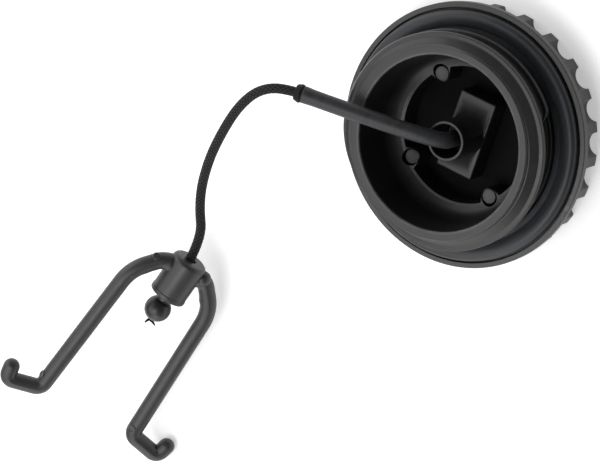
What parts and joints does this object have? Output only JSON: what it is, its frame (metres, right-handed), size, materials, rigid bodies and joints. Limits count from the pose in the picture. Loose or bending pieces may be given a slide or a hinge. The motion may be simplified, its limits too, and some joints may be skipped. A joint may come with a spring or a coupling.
{
  "type": "fuel filler cap with tether",
  "caption": "Round screw-in filler cap with a toothed grip, sealing ring, hollow threaded cup and a braided tether to a hooked retaining bracket.",
  "frame": {"origin": "centre of the grip's flat outer face, which the cap lies on", "axes": "+Z along the cap's axis from the grip to the mouth of the cup, +X towards the side that the tether and bracket lie on, +Y completes a right-handed frame"},
  "size_m": [0.1246, 0.0636, 0.0252],
  "materials": {
    "grip_plastic": "satin moulded black plastic",
    "cup_plastic": "satin moulded black plastic",
    "seal_rubber": "smooth blue-black rubber",
    "post_plastic": "satin moulded black plastic",
    "ball_plastic": "moulded black plastic",
    "sleeve_rubber": "satin black rubber with a fine parting line",
    "collar_rubber": "dark rubber",
    "braid": "black braided nylon",
    "bead_plastic": "moulded black plastic",
    "bracket_plastic": "satin moulded dark grey plastic"
  },
  "bodies": {
    "cap": {"grip": "grip_plastic", "cup": "cup_plastic", "seal": "seal_rubber", "tether_post": "post_plastic"},
    "tether": {"ball_head": "ball_plastic", "sleeve": "sleeve_rubber", "collar": "collar_rubber", "cord": "braid", "bead": "bead_plastic", "tail_a": "braid", "tail_b": "braid"},
    "bracket": {"bracket": "bracket_plastic"}
  },
  "joints": [
    {"name": "tether_swivel", "type": "hinge", "parent": "cap", "child": "tether", "pos_m": [0, 0, 0.00465], "axis": [0, 0, 1], "continuous": true},
    {"name": "bracket_swivel", "type": "hinge", "parent": "tether", "child": "bracket", "pos_m": [0.0656, 0.0082, 0.0086], "axis": [-0.818, -0.5643, -0.1115], "continuous": true}
  ]
}
